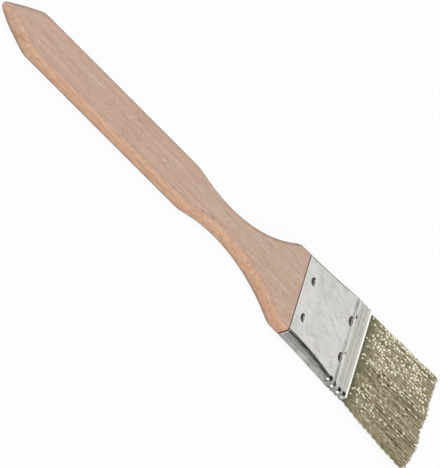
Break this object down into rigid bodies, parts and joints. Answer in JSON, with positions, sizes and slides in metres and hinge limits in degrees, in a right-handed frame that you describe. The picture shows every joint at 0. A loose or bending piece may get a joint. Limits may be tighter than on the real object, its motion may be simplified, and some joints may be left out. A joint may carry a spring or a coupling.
{
  "type": "wire grout brush",
  "caption": "Flat brush with a long wooden handle, pointed at its end, a nailed sheet ferrule and a wide, thin tuft of crimped brass wire.",
  "frame": {"origin": "on the flat back face of the handle, on the brush's centreline, halfway between the handle's tip and the bristle tips", "axes": "+X along the brush, from the handle's tip to the bristles; +Z out of the front face; Y across the brush. It lies on its back."},
  "size_m": [0.2824, 0.0487, 0.0073],
  "materials": {
    "handle_wood": "bare beech, sanded",
    "ferrule_sheet": "tinned sheet, satin",
    "nail_steel": "bright drawn steel",
    "resin": "cast resin",
    "bristle_wire": "crimped drawn wire"
  },
  "bodies": {
    "root": {"handle": "handle_wood", "ferrule": "ferrule_sheet", "handle_nails": "nail_steel", "tuft_rivets": "nail_steel", "resin_block": "resin", "bristles": "bristle_wire"}
  },
  "joints": []
}
